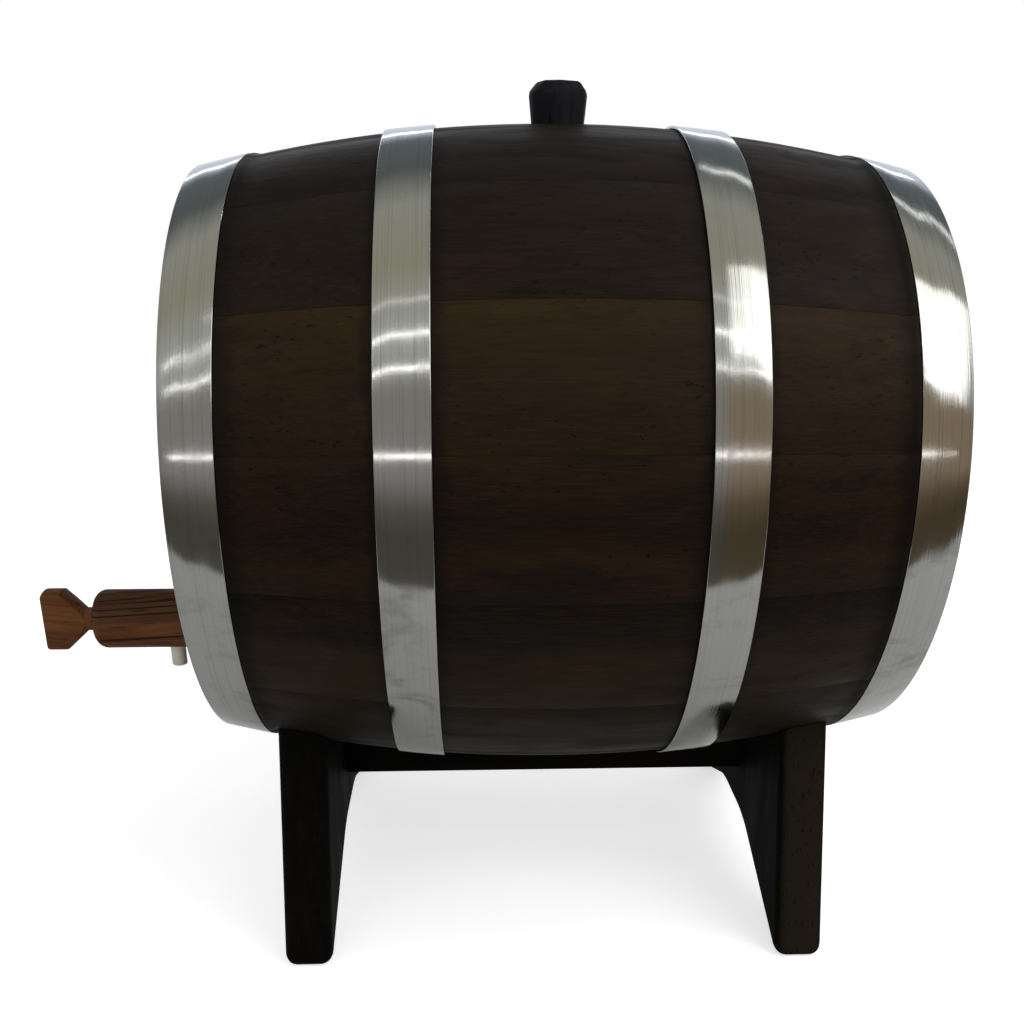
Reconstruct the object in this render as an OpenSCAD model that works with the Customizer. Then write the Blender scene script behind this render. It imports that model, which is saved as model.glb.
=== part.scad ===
/* [Cask] */
// Length of the cask over the ends of the staves
cask_len = 293; // [260:1:350]
// Diameter at the bilge, the widest place
bilge_d = 280; // [264:1:340]
// Bow of the staves: how far the bilge stands out past their ends
bow = 17.5; // [10:0.5:26]
// Number of staves, the first of which holds the bung
stave_count = 16; // [12:1:24]
// Thickness of a stave
stave_t = 16; // [12:0.5:20]
// Depth of the recess between the stave ends and a head
chime_depth = 16; // [12:1:24]
// Wood left at the very end of a stave, outside the chime's bevel
chime_rim = 8; // [5:0.5:10]
// Plain inside between a head's face and the chime's bevel
chime_step = 5; // [2:0.5:8]

/* [Heads] */
// Thickness of a head
head_t = 15; // [12:0.5:20]
// Number of boards across a head, odd so that the middle one takes the tap
head_boards = 5; // [3:2:7]
// Width of the croze, the groove that holds the head
croze_w = 5; // [3:0.5:7]
// Depth of the croze
croze_depth = 4; // [2:0.5:6]
// Width of the bevel that thins the head towards the croze
head_bevel = 14; // [8:1:20]
// Gap between the head's bevel and the staves, outside the croze
head_rim_gap = 1; // [0.5:0.5:2]
// Diameter of the dowels between the head boards
dowel_d = 6; // [4:0.5:8]
// Length of those dowels
dowel_len = 24; // [16:1:30]
// Wood between the lower dowels and the tail of the tap
dowel_clear = 15; // [8:1:20]

/* [Hoops] */
// Width of the hoop strip
hoop_w = 20.5; // [16:0.5:24]
// Thickness of the hoop strip
hoop_t = 1.3; // [0.8:0.1:2]
// Distance from the middle of the cask to the near edge of a bilge hoop
bilge_hoop_x = 49; // [40:1:56]
// Angle over which a hoop's end laps the other end
lap_angle = 14; // [10:1:20]
// Place of the lap, in degrees from the top and towards the back
lap_place = 128; // [110:1:150]
// Diameter of a rivet's shank
rivet_d = 4; // [3:0.5:5]
// Diameter of a rivet's head
rivet_head_d = 7.4; // [6:0.2:9]
// Height of a rivet's head
rivet_head_h = 1.7; // [1:0.1:2.5]

/* [Bung] */
// Diameter of the bung where it leaves the stave
bung_d = 22.5; // [18:0.5:30]
// Growth of the bung's radius for each millimetre of height
bung_taper = 0.1; // [0.04:0.01:0.12]
// Height of the bung's widest place above the stave
bung_shoulder_h = 10.8; // [6:0.1:12]
// Height of the bung's top above the stave
bung_top_h = 16; // [12:0.1:24]
// Diameter of the bung's flat top
bung_top_d = 18.6; // [12:0.1:24]
// Depth of the bung below the stave's outside
bung_depth = 23; // [18:0.5:30]
// Distance of the bung from the middle of its stave, towards the back
bung_off = 2.3; // [-5:0.1:5]

/* [Tap] */
// Distance from the tap's axis down to the edge of the head
tap_edge = 31.2; // [26:0.1:40]
// Diameter of the turned tap body
tap_d = 28.6; // [25:0.1:34]
// Rounding of the tap body's outer end
tap_round = 5; // [2:0.1:6]
// Length of the tap body from the head to its outer end
tap_len = 88; // [80:0.5:110]
// Distance from the head to the spout
spout_x = 51; // [44:0.5:54]
// Length of the tapered tail behind the tap body, through the head
tail_len = 31; // [24:1:36]
// Diameter of the tail at the head's face
tail_d = 22; // [18:0.5:24]
// Growth of the tail's radius for each millimetre of length
tail_taper = 0.06; // [0.02:0.01:0.08]
// Diameter of the channel through the tail
channel_d = 9; // [7:0.5:10]
// Wall of the cork liner
liner_t = 2; // [1.5:0.1:3]
// Diameter of the key's shaft inside the liner
shaft_d = 13; // [10.8:0.1:15.6]
// Distance from the spout to the shaft's inner end
shaft_end = 12; // [9:0.5:16]
// Diameter of the bore along the shaft
shaft_bore_d = 7; // [5:0.5:8]
// Diameter of the port through the side of the shaft and the liner
port_d = 5; // [4:0.5:6]
// Step in from the key's shaft to its neck, just outside the tap body
neck_step = 0.85; // [0.3:0.05:2]
// Length of the neck between the tap body and the key's knob
neck_gap = 4.9; // [1:0.1:8]
// Length of the cone that leads from the neck to the full knob
cone_len = 10.4; // [6:0.1:12]
// Diameter of the key's knob
key_d = 30; // [24:0.5:34]
// Thickness of the knob between the two flats that the fingers turn it by
key_t = 11.5; // [9:0.1:20]
// Length of the key outside the tap body, with its neck
key_len = 24.5; // [22:0.1:34]
// Rounding of the knob's outer end
key_round = 1.5; // [0.5:0.1:3]
// Diameter of the pin that holds the key in
pin_d = 3; // [2:0.5:3.5]
// Distance from the outer end of the tap body to the pin
pin_in = 10.5; // [9:0.5:16]
// Depth that the pin reaches into the key's shaft
pin_bite = 1.4; // [1:0.1:1.8]
// Outside diameter of the spout tube
spout_d = 7.3; // [6:0.1:8.5]
// Inside diameter of the spout tube
spout_bore_d = 5; // [4:0.1:6]
// Length of the spout tube below the tap body
spout_drop = 9.8; // [5:0.1:16]

/* [Stand] */
// Height of the bilge above the table
bilge_clear = 70.5; // [65:0.5:110]
// Distance from a chime hoop in to the outer face of a cradle board
board_inset = 4; // [2:0.5:10]
// Thickness of a cradle board
board_t = 21.5; // [16:0.5:24]
// Angle up to which a board holds the cask, from straight below the axis
cradle_angle = 36; // [30:1:42]
// Distance by which a board's side leans out between its top and the table
foot_splay = 28; // [20:1:36]
// Width of a foot at the table, front to back
foot_w = 12; // [10:1:28]
// Height of the low arch between the feet
arch_h = 26; // [14:1:36]
// Rounding of a board's outer edges
board_round = 5.5; // [2:0.5:6]
// Width of the stretcher, front to back
stretcher_w = 20; // [14:0.5:30]
// Height of the stretcher
stretcher_h = 16.5; // [12:0.5:18]
// Length of the stretcher's tenon in a board
tenon_len = 12; // [6:0.5:14]
// Shoulder around the tenon
tenon_shoulder = 3.5; // [2:0.5:5]
// Diameter of a stand screw's shank
screw_d = 4; // [3:0.5:5]
// Length of a stand screw
screw_len = 40; // [30:1:60]
// Depth of a screw's head below the face of the board
screw_sunk = 0.4; // [0.1:0.1:1]

/* [Fits] */
// Gap between a hoop and the staves
hoop_gap = 0.05; // [0.02:0.01:0.2]
// Gap round a head in its croze, a dowel, a pin and the like
close_gap = 0.05; // [0.02:0.01:0.1]
// Gap all round the bung in its hole
bung_gap = 0.08; // [0.02:0.01:0.1]
// Gap all round the key's shaft in its liner
key_gap = 0.05; // [0.02:0.01:0.1]
// Gap between the inner end of the key's shaft and the bottom of its bore
end_gap = 1; // [0.5:0.5:2]
// Spare depth at each end of a dowel or of the key's pin in its hole
spare = 0.5; // [0.2:0.1:1]
// Gap between the cask and a cradle board
cradle_gap = 0.3; // [0.1:0.05:0.6]
// Gap between the bilge and the top of the stretcher
stretcher_gap = 3.5; // [1:0.5:8]

/* [Hidden] */
$fn = 96;
bilge_r = bilge_d / 2;
half_len = cask_len / 2;
// The barrel's outline is an arc through the bilge and both ends.
bow_r = (half_len * half_len + bow * bow) / (2 * bow);
outline_steps = 24;
stave_angle = 360 / stave_count;
// Extra length that carries a cut past the face it opens, or joins two forms of one piece
over = 2;

// Places along the cask, counted from its middle
head_face_x = half_len - chime_depth;
head_back_x = head_face_x - head_t;
croze_x = (head_face_x + head_back_x) / 2;
tongue_r = inside_r(croze_x) + croze_depth - close_gap;
board_w = 2 * tongue_r / head_boards;
chime_hoop_x = half_len - hoop_w;
board_x = chime_hoop_x - board_inset;
inner_face_x = board_x - board_t;

// Places along the tap, counted outwards from the middle of the cask
tap_end = head_face_x + tap_len;
spout_at = head_face_x + spout_x;
shaft_in = spout_at - shaft_end;
bore_in = shaft_in - end_gap;
liner_d = shaft_d + 2 * (key_gap + liner_t);
liner_end = tap_end - 1;
neck_d = shaft_d - 2 * neck_step;
pin_at = tap_end - pin_in;
pin_up = (shaft_d + pin_d) / 2 - pin_bite;
pin_play = 0.2;
pin_len = 2 * (sqrt(pow(tap_d / 2, 2) - pow(pin_up + pin_d / 2, 2)) - spare);
cone_x = tap_end + neck_gap;
key_end = tap_end + key_len;

// Heights, counted from the axis of the cask
tap_drop = inside_r(head_face_x) - tap_edge;
dowel_rise = tap_drop - tail_d / 2 - dowel_clear - dowel_d / 2;

// The model stands on the table with its middle at the origin, so the cask sits off centre
// by half of what the tap adds at one end.
cask_x = (key_end - half_len) / 2;
axis_h = bilge_clear + bilge_r;
tap_z = axis_h - tap_drop;
stretcher_z = bilge_clear - stretcher_gap - stretcher_h / 2;
// Half widths of a board where it meets the cask and at the table
board_top_y = outside_r(board_x) * sin(cradle_angle);
foot_y = board_top_y + foot_splay;
// Half width of the arch between two feet, and its radius
arch_y = foot_y - foot_w;
arch_r = (arch_y * arch_y + arch_h * arch_h) / (2 * arch_h);

oak = [0.16, 0.12, 0.09];
oak_end = [0.30, 0.22, 0.15];
stain = [0.07, 0.06, 0.05];
steel = [0.72, 0.72, 0.70];
tap_wood = [0.36, 0.21, 0.15];
cork = [0.66, 0.49, 0.32];
tube_white = [0.90, 0.89, 0.85];
screw_steel = [0.45, 0.45, 0.46];

function two(n) = n < 10 ? str("0", n) : str(n);
function stave_name(n) = n == 1 ? "bung_stave" : str("stave_", two(n));
function end_name(side) = side < 0 ? "front" : "back";
function head_name(side, n) = str(end_name(side), "_head_board_", n);

STAVES = [for (n = [1:stave_count]) stave_name(n)];
HEADS = [for (side = [-1, 1], n = [1:head_boards]) head_name(side, n)];

// Radius of the barrel's outside at a distance x from its middle
function outside_r(x) = bilge_r - bow_r + sqrt(bow_r * bow_r - x * x);
// Radius of the barrel's inside, before the croze and the chime are cut
function inside_r(x) = outside_r(x) - stave_t;
// Points of the barrel's outline from one place to another, pushed out by a distance
function outline(from, to, out, steps) =
    [for (i = [0:steps]) let (x = from + (to - from) * i / steps) [outside_r(x) + out, x]];

// Places what is drawn round the Z axis along the cask: angle 0 is at the top and 90 at the front.
module along_cask() {
    translate([cask_x, 0, axis_h]) rotate([0, 90, 0]) rotate([0, 0, 180]) children();
}

// Places what is drawn along Z along the tap: Z points out of the cask and X points up.
module along_tap() {
    translate([cask_x, 0, tap_z]) rotate([0, -90, 0]) children();
}

// Half outline of a stave: bowed outside, bowed inside, a croze and a bevelled chime at each end
module stave_outline() {
    chime_in = head_face_x + chime_step;
    difference() {
        polygon(concat(
            outline(-half_len, half_len, 0, outline_steps),
            [[outside_r(half_len) - chime_rim, half_len]],
            outline(chime_in, -chime_in, -stave_t, outline_steps - 4),
            [[outside_r(half_len) - chime_rim, -half_len]]
        ));
        for (side = [-1, 1])
            translate([inside_r(croze_x) - over, side * croze_x - croze_w / 2])
                square([croze_depth + over, croze_w]);
    }
}

// The hole for the bung, tapered like the bung and larger all round by a gap
module bung_cone(bottom, top, gap) {
    translate([cask_x + bung_off, 0, axis_h + bilge_r + bottom])
        cylinder(
            h = top - bottom,
            r1 = bung_d / 2 + bung_taper * bottom + gap,
            r2 = bung_d / 2 + bung_taper * top + gap
        );
}

module stave(n) {
    color(oak)
    difference() {
        along_cask()
            rotate([0, 0, (n - 1.5) * stave_angle])
                rotate_extrude(angle = stave_angle) stave_outline();
        if (n == 1) bung_cone(-stave_t - over, over, bung_gap);
    }
}

// Half outline of a head: flat faces, a bevel on both sides and a tongue that fits the croze
module head_outline() {
    tongue = croze_w / 2 - close_gap;
    mouth_r = inside_r(head_face_x) - head_rim_gap;
    polygon([
        [0, head_back_x],
        [mouth_r - head_bevel, head_back_x],
        [mouth_r, croze_x - tongue],
        [tongue_r, croze_x - tongue],
        [tongue_r, croze_x + tongue],
        [mouth_r, croze_x + tongue],
        [mouth_r - head_bevel, head_face_x],
        [0, head_face_x]
    ]);
}

// Places a dowel at each joint between the boards of a head, above and below its middle.
module at_head_dowels(side) {
    for (joint = [1:head_boards - 1], rise = [-1, 1])
        translate([cask_x + side * croze_x, joint * board_w - tongue_r, axis_h + rise * dowel_rise])
            rotate([90, 0, 0]) children();
}

module head_board(side, n) {
    color(oak_end)
    difference() {
        intersection() {
            along_cask() mirror([0, 0, side < 0 ? 1 : 0]) rotate_extrude() head_outline();
            translate([cask_x + side * croze_x, (n - 0.5) * board_w - tongue_r, axis_h])
                cube([head_t * 2, board_w, 3 * tongue_r], center = true);
        }
        at_head_dowels(side)
            cylinder(h = dowel_len + 2 * spare, d = dowel_d + 2 * close_gap, center = true);
        if (side < 0) tail(close_gap);
    }
}

module head_dowels(side) {
    color(oak_end) at_head_dowels(side) cylinder(h = dowel_len, d = dowel_d, center = true);
}

// The tapered tail of the tap, from inside the cask to the head's face, and a little past it
module tail(gap) {
    along_tap()
        translate([0, 0, head_face_x - tail_len])
            cylinder(
                h = tail_len + over,
                r1 = tail_d / 2 - tail_taper * tail_len + gap,
                r2 = tail_d / 2 + tail_taper * over + gap
            );
}

// A strip bent round the cask from one place to another, of a thickness, and out by a distance
module strip(from, to, out, thick, angle) {
    steps = 3;
    rotate_extrude(angle = angle)
        polygon(concat(outline(from, to, out, steps), outline(to, from, out + thick, steps)));
}

// Places what is drawn along Z square to a hoop at its two rivets, on the outside of the lap.
module at_rivets(near) {
    mid = near + hoop_w / 2;
    slope = atan((outside_r(near) - outside_r(near + hoop_w)) / hoop_w);
    for (turn = [-1, 1])
        rotate([0, 0, -lap_place + turn * lap_angle / 4])
            translate([outside_r(mid) + hoop_gap + 2 * hoop_t, 0, mid])
                rotate([0, 90 - slope, 0]) children();
}

// One hoop: a conical strip whose outer end laps the inner one and is riveted through it
module hoop(side, near) {
    color(steel)
    along_cask() mirror([0, 0, side < 0 ? 1 : 0])
        difference() {
            union() {
                strip(near, near + hoop_w, hoop_gap, hoop_t, 360);
                rotate([0, 0, -lap_place - lap_angle / 2])
                    strip(near, near + hoop_w, hoop_gap + hoop_t / 2, hoop_t * 1.5, lap_angle);
            }
            at_rivets(near) translate([0, 0, -3 * hoop_t])
                cylinder(h = 4 * hoop_t, d = rivet_d + 2 * close_gap);
        }
}

// A rivet with a domed head and a plain shank that ends inside the hoop
module rivet() {
    dome_r = (rivet_head_d * rivet_head_d / 4 + rivet_head_h * rivet_head_h) / (2 * rivet_head_h);
    lift = 0.1;
    translate([0, 0, lift])
        intersection() {
            translate([0, 0, rivet_head_h - dome_r]) sphere(dome_r);
            cylinder(h = rivet_head_h + 1, d = rivet_head_d);
        }
    translate([0, 0, -2 * hoop_t + lift]) cylinder(h = 2 * hoop_t, d = rivet_d);
}

module hoop_rivets() {
    color(steel)
    along_cask()
        for (side = [0, 1], near = [bilge_hoop_x, chime_hoop_x])
            mirror([0, 0, side]) at_rivets(near) rivet();
}

module bung() {
    tip = 1.5;
    color(stain) {
        bung_cone(tip - bung_depth, bung_shoulder_h, 0);
        translate([cask_x + bung_off, 0, axis_h + bilge_r - bung_depth])
            cylinder(
                h = tip,
                r1 = bung_d / 2 - bung_taper * bung_depth - tip / 2,
                r2 = bung_d / 2 + bung_taper * (tip - bung_depth)
            );
        translate([cask_x + bung_off, 0, axis_h + bilge_r + bung_shoulder_h])
            cylinder(
                h = bung_top_h - bung_shoulder_h,
                r1 = bung_d / 2 + bung_taper * bung_shoulder_h,
                d2 = bung_top_d
            );
    }
}

// Half outline of a turned bar with one end at zero and the other rounded
module turned_bar(long, r, round_r) {
    polygon(concat(
        [[0, 0], [r, 0]],
        [for (a = [0:15:90]) [r - round_r, long - round_r] + round_r * [cos(a), sin(a)]],
        [[0, long]]
    ));
}

module tap_body() {
    color(tap_wood)
    difference() {
        union() {
            along_tap() translate([0, 0, head_face_x])
                rotate_extrude() turned_bar(tap_len, tap_d / 2, tap_round);
            tail(0);
        }
        along_tap() {
            translate([0, 0, bore_in]) cylinder(h = tap_len, d = liner_d + 2 * close_gap);
            translate([0, 0, head_face_x - tail_len - over]) cylinder(h = tap_len, d = channel_d);
            translate([0, 0, spout_at]) rotate([0, -90, 0])
                cylinder(h = tap_d, d = spout_d + 2 * close_gap);
        }
        key_pin(close_gap, tap_d + over);
    }
}

// A cork sleeve round the key's shaft, with a port over the spout
module tap_liner() {
    color(cork)
    difference() {
        along_tap()
            difference() {
                translate([0, 0, bore_in]) cylinder(h = liner_end - bore_in, d = liner_d);
                translate([0, 0, bore_in - over]) cylinder(h = tap_len, d = shaft_d + 2 * key_gap);
                translate([0, 0, spout_at]) rotate([0, -90, 0]) cylinder(h = tap_d, d = port_d);
            }
        key_pin(close_gap, tap_d + over);
    }
}

// The pin that crosses the key's groove above its middle, so that the key turns but stays in
module key_pin(gap, long) {
    along_tap()
        translate([pin_up, 0, pin_at])
            rotate([90, 0, 0]) cylinder(h = long, d = pin_d + 2 * gap, center = true);
}

// Half outline of the key: a grooved shaft, a neck, a cone and the knob
module key_outline() {
    groove_w = pin_d / 2 + pin_play;
    groove_r = shaft_d / 2 - pin_bite - pin_play;
    shaft_r = shaft_d / 2;
    translate([0, cone_x + cone_len])
        turned_bar(key_end - cone_x - cone_len, key_d / 2, key_round);
    polygon([
        [0, shaft_in],
        [shaft_r, shaft_in],
        [shaft_r, pin_at - groove_w],
        [groove_r, pin_at - groove_w],
        [groove_r, pin_at + groove_w],
        [shaft_r, pin_at + groove_w],
        [shaft_r, liner_end - neck_step],
        [neck_d / 2, liner_end],
        [neck_d / 2, cone_x],
        [key_d / 2, cone_x + cone_len],
        [0, cone_x + cone_len]
    ]);
}

// The key's knob has two flats, upright while the tap is closed.
module tap_key() {
    color(tap_wood)
    along_tap()
        difference() {
            rotate_extrude() key_outline();
            for (side = [-1, 1])
                translate([-key_d, side * (key_t + key_d) / 2 - key_d / 2, cone_x])
                    cube([2 * key_d, key_d, key_len]);
            translate([0, 0, shaft_in - over])
                cylinder(h = shaft_end + over + port_d, d = shaft_bore_d);
            translate([0, 0, spout_at]) rotate([90, 0, 0]) cylinder(h = shaft_d, d = port_d);
        }
}

module tap_key_pin() {
    color(oak_end) key_pin(0, pin_len);
}

// A plastic tube pushed up into the tap body, with a rounded lip
module tap_spout() {
    top = liner_d / 2 + close_gap;
    long = tap_d / 2 + spout_drop - top;
    wall = (spout_d - spout_bore_d) / 2;
    color(tube_white)
    translate([cask_x - spout_at, 0, tap_z - top - long])
        rotate_extrude() {
            translate([spout_bore_d / 2, wall / 2]) square([wall, long - wall / 2]);
            translate([(spout_bore_d + wall) / 2, wall / 2]) circle(wall / 2);
        }
}

// A board that widens towards the table, with its outer edges rounded
module board_blank() {
    rise = axis_h - bilge_r / 2;
    lean = (foot_y - board_top_y) / (axis_h - sqrt(pow(outside_r(board_x), 2) - pow(board_top_y, 2)));
    ball_foot_y = foot_y - board_round;
    hull()
        for (front = [-1, 1], x = [inner_face_x + board_round, board_x - board_round]) {
            translate([x, front * ball_foot_y, board_round]) edge_ball();
            translate([x, front * (ball_foot_y - lean * rise), rise]) edge_ball();
        }
}

// A ball of few facets whose flats lie exactly at the rounding's radius
module edge_ball() {
    facets = 24;
    sphere(board_round / cos(180 / facets), $fn = facets);
}

// One cradle board: it follows the staves above and stands on two feet, with an arch between them
module cradle_board(side) {
    color(stain)
    translate([cask_x, 0, 0]) mirror([side < 0 ? 1 : 0, 0, 0])
        difference() {
            board_blank();
            translate([0, 0, axis_h]) rotate([0, 90, 0]) rotate_extrude()
                polygon(concat(
                    [[0, 0]],
                    outline(0, half_len, cradle_gap, outline_steps / 2),
                    [[0, half_len]]
                ));
            translate([board_x / 2, 0, arch_h - arch_r]) rotate([0, 90, 0]) cylinder(h = board_x, r = arch_r);
            tenon(close_gap);
            stand_screw(close_gap);
            screw_mouth();
        }
}

module tenon(gap) {
    wide = stretcher_w - 2 * tenon_shoulder + 2 * gap;
    high = stretcher_h - 2 * tenon_shoulder + 2 * gap;
    translate([inner_face_x - over, -wide / 2, stretcher_z - high / 2])
        cube([tenon_len + over + gap, wide, high]);
}

module stretcher() {
    color(stain)
    translate([cask_x, 0, 0])
        difference() {
            union() {
                translate([0, 0, stretcher_z])
                    cube([2 * inner_face_x, stretcher_w, stretcher_h], center = true);
                for (side = [0, 1]) mirror([side, 0, 0]) tenon(0);
            }
            for (side = [0, 1]) mirror([side, 0, 0]) stand_screw(close_gap);
        }
}

// A countersunk screw, or its hole, through a cradle board into the end of the stretcher
module stand_screw(gap) {
    head_h = screw_d / 2;
    translate([board_x - screw_sunk, 0, stretcher_z]) rotate([0, -90, 0]) {
        cylinder(h = screw_len + gap, d = screw_d + 2 * gap);
        cylinder(h = head_h, r1 = screw_d + gap, r2 = screw_d / 2 + gap);
    }
}

// The short straight mouth above a sunk screw head
module screw_mouth() {
    translate([board_x - screw_sunk, 0, stretcher_z]) rotate([0, 90, 0])
        cylinder(h = screw_sunk + over, r = screw_d + close_gap);
}

module stand_screws() {
    color(screw_steel)
    translate([cask_x, 0, 0])
        for (side = [0, 1]) mirror([side, 0, 0]) stand_screw(0);
}

for (n = [1:stave_count])
    stave(n);
for (side = [-1, 1], n = [1:head_boards])
    head_board(side, n);
head_dowels(-1);  // front_head_dowels
head_dowels(1);  // back_head_dowels
hoop(-1, chime_hoop_x);  // front_chime_hoop
hoop(-1, bilge_hoop_x);  // front_bilge_hoop
hoop(1, bilge_hoop_x);  // back_bilge_hoop
hoop(1, chime_hoop_x);  // back_chime_hoop
hoop_rivets();
bung();
tap_body();
tap_liner();
tap_key();
tap_key_pin();
tap_spout();
cradle_board(-1);  // front_cradle_board
cradle_board(1);  // back_cradle_board
stretcher();
stand_screws();
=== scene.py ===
import math

import bmesh
import bpy
from bpy.props import FloatProperty, FloatVectorProperty, PointerProperty
from mathutils import Matrix, Vector


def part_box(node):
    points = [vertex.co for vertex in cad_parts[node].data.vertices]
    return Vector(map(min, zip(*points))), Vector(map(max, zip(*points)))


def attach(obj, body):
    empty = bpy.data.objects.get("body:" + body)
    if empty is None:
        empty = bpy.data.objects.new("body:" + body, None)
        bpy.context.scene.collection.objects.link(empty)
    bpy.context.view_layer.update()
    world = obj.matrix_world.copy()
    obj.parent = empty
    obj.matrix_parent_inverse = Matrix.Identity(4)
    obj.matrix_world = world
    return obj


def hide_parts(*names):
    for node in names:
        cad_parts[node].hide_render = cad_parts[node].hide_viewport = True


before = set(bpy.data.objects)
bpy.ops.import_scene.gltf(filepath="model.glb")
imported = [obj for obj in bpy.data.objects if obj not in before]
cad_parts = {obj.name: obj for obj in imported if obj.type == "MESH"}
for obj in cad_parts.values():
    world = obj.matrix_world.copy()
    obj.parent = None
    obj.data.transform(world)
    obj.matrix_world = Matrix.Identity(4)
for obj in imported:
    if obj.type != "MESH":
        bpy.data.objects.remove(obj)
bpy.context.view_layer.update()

bl_info = {
    "name": "Oak Cask Dispenser",
    "version": (1, 0, 0),
    "blender": (4, 5, 0),
    "location": "View3D > Sidebar > Cask",
    "description": "Makes a small oak cask with a wooden tap on its cradle stand, in a studio",
    "category": "Add Mesh",
}

MM = 0.001
FULL_TURN = 2 * math.pi
# Points nearer than MERGED become one, and places nearer than CLOSE count as the same
MERGED, CLOSE = 0.002 * MM, 0.01 * MM
# A turn that stands a wood's grain upright
UPRIGHT = (0, math.radians(90), 0)

# ---- Sizes that the frame gives ----

STAVES = sorted(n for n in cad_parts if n.startswith("stave_"))
STAVES.insert(0, "bung_stave")
STAVE_ANGLE = FULL_TURN / len(STAVES)
TOP_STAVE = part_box("bung_stave")
LOW_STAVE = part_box(STAVES[len(STAVES) // 2])
CASK_X = (TOP_STAVE[0].x + TOP_STAVE[1].x) / 2
HALF_LEN = (TOP_STAVE[1].x - TOP_STAVE[0].x) / 2
AXIS_Z = (TOP_STAVE[1].z + LOW_STAVE[0].z) / 2
BILGE_R = (TOP_STAVE[1].z - LOW_STAVE[0].z) / 2
CENTRE = Vector((CASK_X, 0, AXIS_Z))
TAP_Z = sum(p.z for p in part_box("tap_liner")) / 2


def mesh_points(node):
    """Corners of a CAD node's mesh, as distances from the cask's middle, along its axis and out of it."""
    found = []
    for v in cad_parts[node].data.vertices:
        p = v.co - CENTRE
        found.append((p.x, math.hypot(p.y, p.z)))
    return found


def end_radius(node):
    """Greatest radius of a CAD node at the very end of the cask."""
    points = mesh_points(node)
    end = max(x for x, r in points)
    return max(r for x, r in points if x > end - 0.5 * MM)


def reach(node):
    """Least and greatest distance of a CAD node from the cask's middle, along its axis."""
    far = [abs(x) for x, r in mesh_points(node)]
    return min(far), max(far)


BOW = BILGE_R - end_radius("stave_02")
BOW_R = (HALF_LEN ** 2 + BOW ** 2) / (2 * BOW)
BILGE_HOOP = reach("back_bilge_hoop")
CHIME_HOOP = reach("back_chime_hoop")
STAVE_WIDTH = 2 * BILGE_R * math.sin(STAVE_ANGLE / 2)


def outside_r(x):
    """Radius of the barrel's outside at a distance from its middle."""
    return BILGE_R - BOW_R + math.sqrt(BOW_R ** 2 - x * x)


def linear(*srgb):
    """Linear colour of three values from 0 to 255, as on a screen."""
    return [((c / 255 + 0.055) / 1.055) ** 2.4 if c > 10 else c / 255 / 12.92 for c in srgb]


# ---- Settings ----


class CaskSettings(bpy.types.PropertyGroup):
    """Sizes and colours of the cask, the tap and the stand"""

    stave_t: FloatProperty(
        name="Stave thickness", description="Thickness of a stave", default=16 * MM, unit="LENGTH"
    )
    stave_edge: FloatProperty(
        name="Stave edge", description="Bevel of a stave's long edges", default=0.2 * MM, unit="LENGTH"
    )
    burr: FloatProperty(
        name="Burr", description="Height of the wood that a chime hoop pushes up", default=1.1 * MM,
        unit="LENGTH",
    )
    chime_rim: FloatProperty(
        name="Chime rim", description="Wood left at the end of a stave", default=8 * MM, unit="LENGTH"
    )
    chime_step: FloatProperty(
        name="Chime step", description="Plain inside next to a head", default=5 * MM, unit="LENGTH"
    )
    croze_w: FloatProperty(
        name="Croze width", description="Width of the groove for a head", default=5 * MM, unit="LENGTH"
    )
    croze_depth: FloatProperty(
        name="Croze depth", description="Depth of the groove for a head", default=4 * MM, unit="LENGTH"
    )
    hoop_t: FloatProperty(
        name="Hoop thickness", description="Thickness of the strip", default=1.3 * MM, unit="LENGTH"
    )
    hoop_edge: FloatProperty(
        name="Hoop edge", description="Rounding of a hoop's edges", default=0.4 * MM, unit="LENGTH"
    )
    lap_angle: FloatProperty(
        name="Lap", description="How far a hoop's ends lap", default=math.radians(14), unit="ROTATION"
    )
    lap_place: FloatProperty(
        name="Lap place", description="Angle of the lap from the top", default=math.radians(128),
        unit="ROTATION",
    )
    joint_edge: FloatProperty(
        name="Head edge", description="Rounding of a head board's edges", default=0.4 * MM, unit="LENGTH"
    )
    board_edge: FloatProperty(
        name="Board edge", description="Rounding of a cradle board's edges", default=5.2 * MM, unit="LENGTH"
    )
    cradle_gap: FloatProperty(
        name="Cradle gap", description="Room between a board and the staves", default=0.3 * MM, unit="LENGTH"
    )
    cradle_angle: FloatProperty(
        name="Cradle angle", description="Half angle over which a board holds the cask",
        default=math.radians(36), unit="ROTATION",
    )
    arch_foot: FloatProperty(
        name="Foot", description="Width of a foot where it stands", default=8 * MM, unit="LENGTH"
    )
    arch_top: FloatProperty(
        name="Arch top", description="Half width of the arch's level top", default=23.8 * MM, unit="LENGTH"
    )
    arch_h: FloatProperty(
        name="Arch height", description="Height of the arch", default=27.4 * MM, unit="LENGTH"
    )
    steel: FloatVectorProperty(
        name="Steel", description="Colour of the hoops", default=linear(150, 150, 147), subtype="COLOR"
    )
    stain: FloatVectorProperty(
        name="Stain", description="Colour of the stand", default=linear(9, 8, 7), subtype="COLOR"
    )
    bung_stain: FloatVectorProperty(
        name="Bung stain", description="Colour of the bung", default=linear(28, 28, 31), subtype="COLOR"
    )
    tap_light: FloatVectorProperty(
        name="Tap wood", description="Lighter colour of the tap", default=linear(116, 75, 45), subtype="COLOR"
    )
    tap_dark: FloatVectorProperty(
        name="Tap lines", description="Colour of the tap's lines", default=linear(32, 17, 8), subtype="COLOR"
    )
    tube_white: FloatVectorProperty(
        name="Spout", description="Colour of the spout tube", default=linear(226, 222, 208), subtype="COLOR"
    )


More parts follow.
